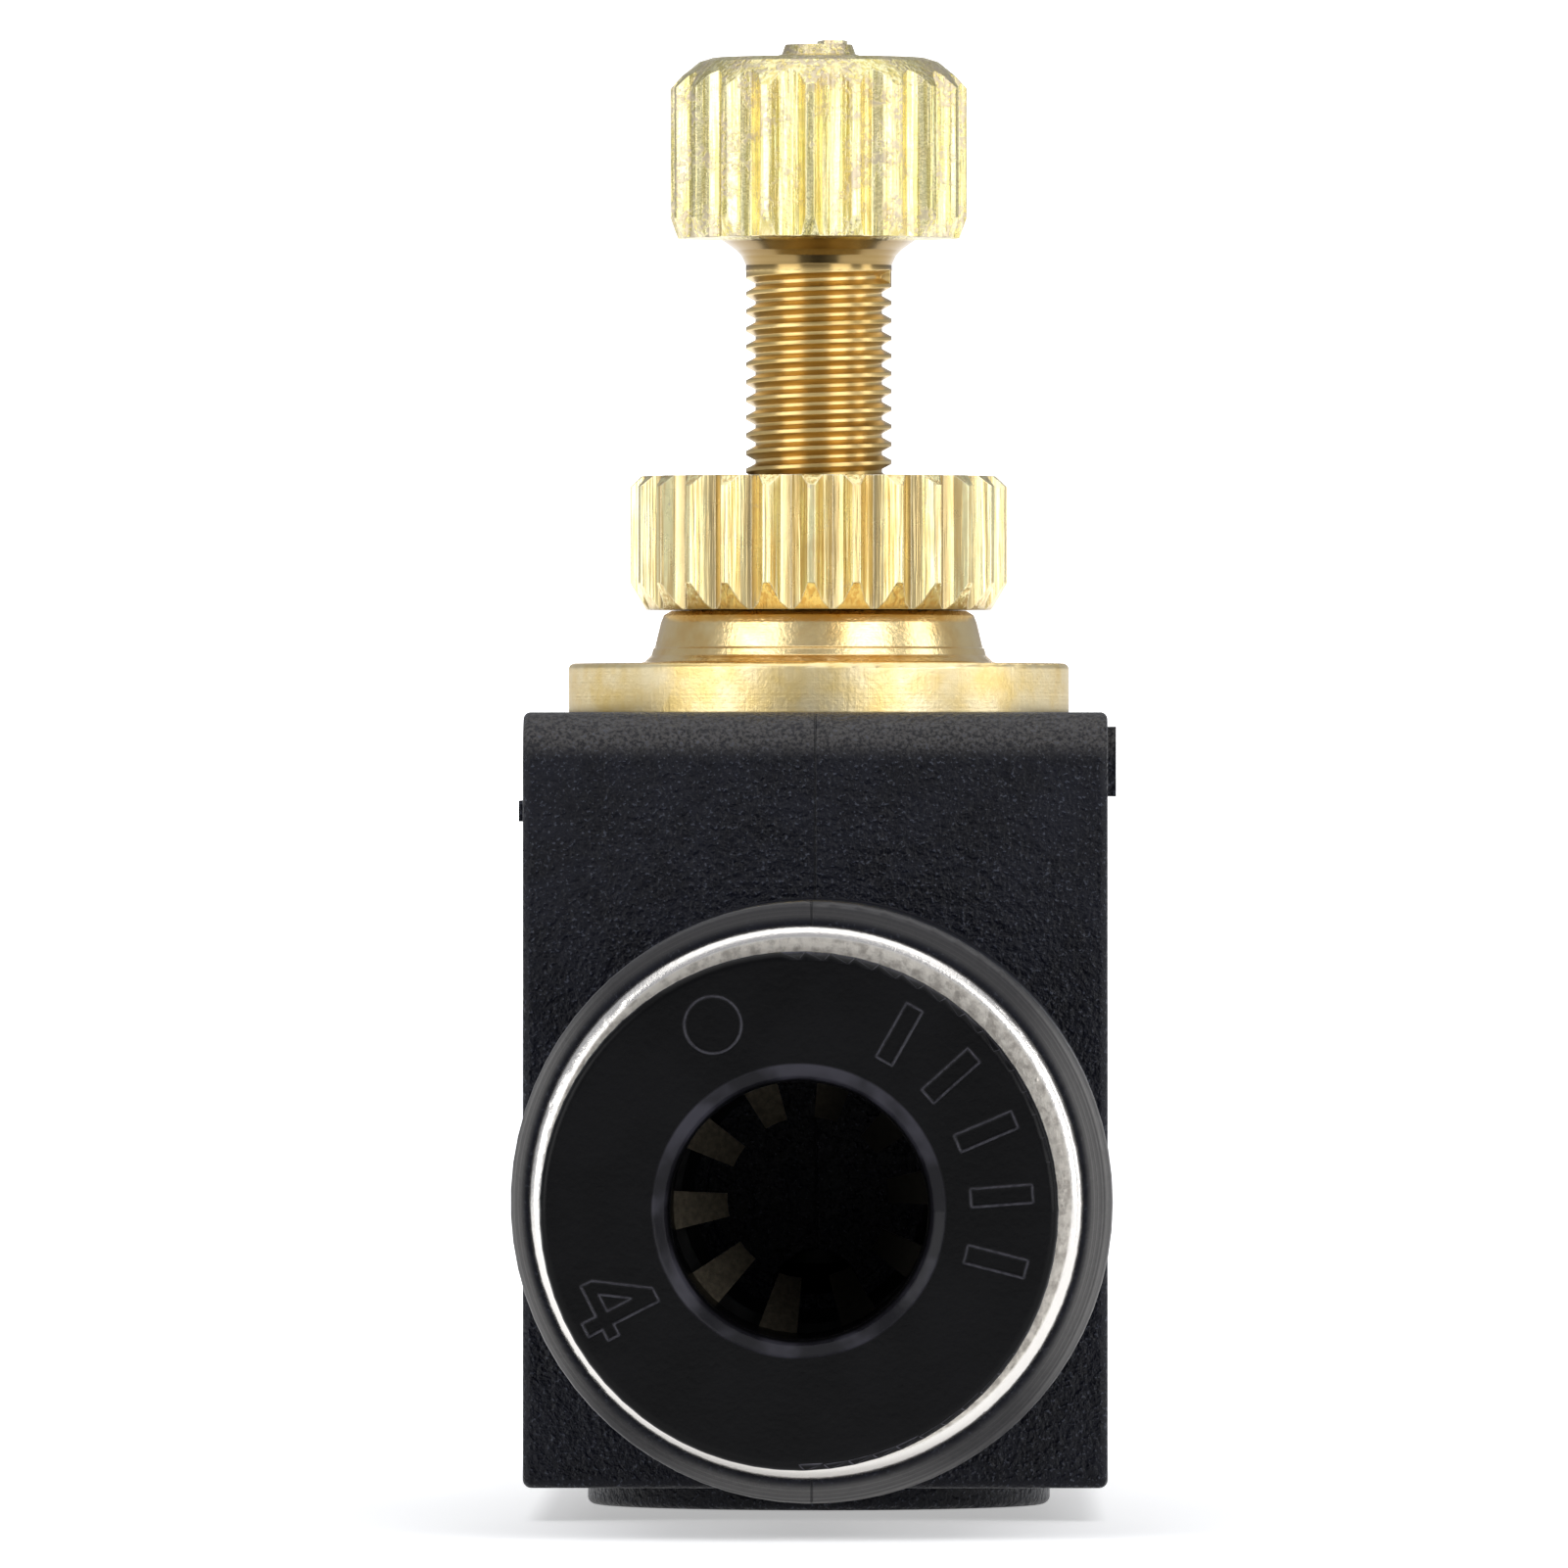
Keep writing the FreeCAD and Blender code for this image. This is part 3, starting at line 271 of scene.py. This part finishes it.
def brass_guide():
    """Needle guide: bright turned cone above a duller flange with fine upright lines."""
    s = Shader("brass_guide")
    cloud = s.noise(0.9, 3.0, 0.6)
    fine = s.noise(0.07, 3.0, 0.6)
    turned = s.noise(0.035, 2.0, 0.6, at=s.combine(s.radius(), s.z, 0.0))
    lines = upright(s, 0.07)
    on_flange = s.times(s.ramp(s.z, *FLANGE_TOP, 1.0, 0.0), s.ramp(s.z, *FLANGE_FOOT))
    cone = s.mix(s.ramp(cloud, 0.35, 0.7), CONE_PALE, CONE_GOLD)
    flange = s.mix(s.ramp(cloud, 0.3, 0.7), FLANGE_GOLD, FLANGE_PALE)
    rough = s.math("ADD", s.ramp(fine, 0.3, 0.7, 0.2, 0.27), s.times(on_flange, 0.14))
    s.set(Base_Color=s.mix(on_flange, cone, flange), Metallic=1.0, Roughness=rough)
    s.height((turned, 0.002), (s.times(lines, on_flange), 0.0025), (fine, 0.005), rounding=0.03)
    return s.material


def rim_colour(s, away, colour):
    """Painted sheen on the end face of each barrel, outside the plated ring, with a painted highlight
    brighter at the sides and bottom, and faint turned rings.
    """
    port_radius = s.tube_radius(PORT_AXIS)
    # Painted sheen: the end face outside the ring is lightened to grey.
    rim = s.times(s.ramp(away, *BARREL_FACE), s.ramp(port_radius, *PORT_EDGE))
    # Painted highlight: lighter still towards the left, right and bottom of each rim.
    at_sides = s.ramp(s.math("ABSOLUTE", s.x), 3.2, 4.7)
    at_bottom = s.ramp(s.z, 0.75, 1.6, 0.6, 0.0)
    rim_sheen = s.mix(s.math("MAXIMUM", at_sides, at_bottom), RIM_PAINTED_SHEEN, RIM_PAINTED_HIGHLIGHT)
    rings = s.noise(0.05, 2.0, 0.6, at=s.combine(port_radius, 0.0, 0.0))
    rim_sheen = s.mix(s.ramp(rings, 0.35, 0.65, 0.0, 0.5), rim_sheen, RIM_GROOVE)
    return s.blend(rim, 0.9, colour, rim_sheen)


def housing_plastic():
    """Blue-black moulding: spark-eroded grain on the block with painted glints, a painted highlight along the
    top brow, smoother barrels, a painted sheen on the barrel ends, a faint parting line.
    """
    s = Shader("housing_plastic")
    away = s.math("ABSOLUTE", s.y)
    barrel = s.ramp(away, *BLOCK_END)
    grain = s.noise(0.065, 2.0, 0.6)
    pits = s.noise(0.15, 1.0, 0.5)
    coarse = s.noise(0.7, 4.0, 0.6)
    colour = s.mix(s.ramp(coarse, 0.35, 0.65), HOUSING_DARK, HOUSING_LIGHT)
    # Painted highlight: the top brow of the block is lighter grey.
    brow = s.times(s.ramp(s.z, *BROW), s.ramp(grain, 0.35, 0.6, 0.2, 1.0))
    colour = s.blend(brow, 0.7, colour, BROW_PAINTED_HIGHLIGHT)
    # Painted glints: lighter specks on the grain peaks, fewer on the barrels.
    painted_glint = s.times(s.ramp(grain, 0.58, 0.70), s.ramp(barrel, 0.0, 1.0, 1.0, 0.4))
    colour = s.blend(painted_glint, 0.7, colour, PAINTED_GRAIN_GLINT)
    colour = rim_colour(s, away, colour)
    line = s.band(s.x, 0.0, 0.010, 0.016)
    colour = s.blend(line, 0.6, colour, PARTING_LINE)
    fade = s.ramp(barrel, 0.0, 1.0, 1.0, 0.3)
    s.set(Base_Color=colour, Roughness=s.ramp(coarse, 0.3, 0.7, 0.28, 0.36))
    s.bsdf.inputs["Specular IOR Level"].default_value = 0.2
    s.height((s.times(grain, fade), 0.03), (s.times(pits, fade), 0.04), (line, 0.02), rounding=0.05)
    return s.material


def collar_plastic():
    """Smooth black collar, with painted highlights along the edges of its marks and in the bore's entry."""
    s = Shader("collar_plastic")
    fine = s.noise(0.12, 3.0, 0.5)
    cloud = s.noise(1.3, 3.0, 0.5)
    colour = s.mix(s.ramp(cloud, 0.3, 0.7), COLLAR_DARK, COLLAR_LIGHT)
    # Painted highlight: paler along every edge of the marks and the bore.
    wear_and_highlight = s.times(s.edges(0.07), s.ramp(fine, 0.3, 0.6, 0.5, 1.0))
    colour = s.blend(wear_and_highlight, 0.8, colour, COLLAR_PAINTED_EDGE_HIGHLIGHT)
    # Painted highlight: a paler band round the bore's entry.
    entry = s.times(s.band(s.tube_radius(COLLAR_AXIS), 2.3, 0.1, 0.05), s.ramp(cloud, 0.42, 0.6, 0.2, 1.0))
    entry = s.times(entry, s.ramp(s.math("ABSOLUTE", s.y), *COLLAR_FACE))
    colour = s.blend(entry, 0.6, colour, COLLAR_ENTRY_HIGHLIGHT)
    s.set(Base_Color=colour, Roughness=s.ramp(cloud, 0.3, 0.7, 0.2, 0.25))
    s.bsdf.inputs["Specular IOR Level"].default_value = 0.12
    s.height((fine, 0.003), rounding=0.07)
    return s.material


def nickel():
    """Plated ring: bright lip, softly mottled funnel, a few small nicks."""
    s = Shader("nickel_plate")
    cloud = s.noise(0.18, 4.0, 0.6)
    fine = s.noise(0.08, 3.0, 0.6)
    lip = s.ramp(s.tube_radius(PORT_AXIS), *RING_LIP)
    wear_and_highlight = s.mix(s.ramp(cloud, 0.4, 0.7), NICKEL_STAINED, NICKEL_DULL)
    nicks = s.ramp(s.noise(0.5, 1.0, 0.5), 0.71, 0.75)
    colour = s.mix(lip, wear_and_highlight, NICKEL_BRIGHT)
    s.set(Base_Color=colour, Metallic=1.0, Roughness=s.ramp(lip, 0.0, 1.0, 0.38, 0.26))
    s.height((fine, 0.006), (nicks, 0.008), rounding=0.05)
    return s.material


def spring_steel():
    """Grip ring: brownish sheet, with painted shade darkening its right-hand side."""
    s = Shader("spring_steel")
    fine = s.noise(0.1, 3.0, 0.6)
    colour = s.mix(s.ramp(fine, 0.3, 0.7), STEEL_LIGHT, STEEL_DARK)
    # Painted shade: the right-hand side is darkened.
    colour = s.mix(s.ramp(s.x, -0.6, 0.6), colour, STEEL_PAINTED_SHADE)
    s.set(Base_Color=colour, Metallic=1.0, Roughness=0.34)
    s.height((fine, 0.004))
    return s.material


def plain_black(name, roughness, size):
    """Dark, even finish for the rubber and the inner plastic."""
    s = Shader(name)
    fine = s.noise(size, 3.0, 0.6)
    colour = s.mix(fine, BLACK_LOW, BLACK_HIGH)
    s.set(Base_Color=colour, Roughness=s.ramp(fine, 0.3, 0.7, roughness - 0.06, roughness + 0.06))
    s.height((fine, 0.006))
    return s.material


def dress():
    """Give every piece its material; the pieces of a port share one finish for both ends."""
    materials = {
        "needle_screw": brass_knob(),
        "lock_nut": brass_nut(),
        "needle_guide": brass_guide(),
        "housing": housing_plastic(),
    }
    by_end = {
        "guide_ring": nickel(),
        "grip_ring": spring_steel(),
        "backup_ring": plain_black("inner_plastic", 0.45, 0.3),
        "release_collar": collar_plastic(),
        "port_seal": plain_black("seal_rubber", 0.6, 0.15),
    }
    rubber = by_end["port_seal"]
    materials["seat_sleeve"] = by_end["backup_ring"]
    for name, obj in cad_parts.items():
        material = materials.get(name)
        for end, finish in by_end.items():
            if name.endswith(end):
                material = finish
        if material is None:
            material = rubber
        obj.data.materials.clear()
        obj.data.materials.append(material)


# ---------------------------------------------------------------- stage, light and camera


def sheet_of(name, corners, material):
    """One flat face that belongs to the stage, not to the valve."""
    mesh = bpy.data.meshes.new(name)
    mesh.from_pydata(corners, [], [(0, 1, 2, 3)])
    sheet = bpy.data.objects.new(name, mesh)
    bpy.context.scene.collection.objects.link(sheet)
    sheet.data.materials.append(material)


def paper(name):
    """White paper that can give off a little light, so that it stays evenly pale."""
    s = Shader(name)
    s.set(Base_Color=PAPER_WHITE, Roughness=0.9, Emission_Color=WHITE)
    return s


def add_floor():
    """Plain floor that glows most behind the valve, and a white card far behind it."""
    s = paper("floor_paper")
    behind = s.ramp(s.y, -110.0, 80.0)
    middle = s.ramp(s.math("ABSOLUTE", s.x), 120.0, 900.0, 1.0, 0.0)
    glow = s.math("MULTIPLY_ADD", s.times(behind, middle), 0.66)
    glow.node.inputs[2].default_value = 0.05  # what is left at the far edges
    s.set(Emission_Strength=glow)
    s.bsdf.inputs["Specular IOR Level"].default_value = 0.1
    half = 2.5
    sheet_of("floor", [(-half, -half, 0), (half, -half, 0), (half, half, 0), (-half, half, 0)], s.material)
    card = paper("card_white")
    card.set(Emission_Strength=1.0)
    side, back, top = 0.12, 0.9, 0.16
    corners = [(-side, back, 0), (side, back, 0), (side, back, top), (-side, back, top)]
    sheet_of("card", corners, card.material)


def place(name, data, location, target):
    """Put a lamp or a camera in the scene, turned towards its target."""
    thing = bpy.data.objects.new(name, data)
    thing.location = location
    thing.rotation_euler = (Vector(target) - Vector(location)).to_track_quat("-Z", "Y").to_euler()
    bpy.context.scene.collection.objects.link(thing)
    return thing


LIGHT_TARGET = (0.0, 0.0, 0.013)
LIGHT_DISTANCE = 0.5


def around(azimuth, elevation):
    """Place seen from the valve: azimuth 0 is towards the camera, positive to its right."""
    a, e = math.radians(azimuth), math.radians(elevation)
    level = LIGHT_DISTANCE * math.cos(e)
    return (level * math.sin(a), -level * math.cos(a), LIGHT_TARGET[2] + LIGHT_DISTANCE * math.sin(e))


def add_lights():
    """Soft boxes low on both sides, one overhead, and a cool, weak world."""
    for name, location, size, power in (
            ("key_left", around(-48, 9), (0.34, 0.42), 1.15),
            ("key_right", around(36, 10), (0.28, 0.42), 1.0),
            ("rim_right", around(82, 12), (0.16, 0.42), 0.5),
            ("top", (0.0, -0.05, 0.45), (0.6, 0.7), 1.4)):
        data = bpy.data.lights.new(name, "AREA")
        data.shape = "RECTANGLE"
        data.size, data.size_y = size
        data.energy = power
        place(name, data, location, LIGHT_TARGET)
    world = bpy.data.worlds.new("studio")
    world.use_nodes = True
    background = world.node_tree.nodes["Background"]
    background.inputs["Color"].default_value = (0.9, 0.93, 1.0, 1)
    background.inputs["Strength"].default_value = 0.42
    bpy.context.scene.world = world


# The photograph's view, worked out from its round parts: a long lens about 0.4 m away.
EYE = Vector((2.6, -407.0, 12.98)) * MM
AIM = Vector((-0.602, 0.0, 12.46)) * MM
SENSOR_WIDTH = 36.0
FOCAL_LENGTH = 539.5


def add_camera():
    data = bpy.data.cameras.new("camera")
    data.sensor_width = SENSOR_WIDTH
    data.lens = FOCAL_LENGTH
    data.clip_start = 0.01
    data.clip_end = 20.0
    bpy.context.scene.camera = place("camera", data, EYE, AIM)


dress()
add_floor()
add_lights()
add_camera()
bpy.context.scene.view_settings.view_transform = "Standard"
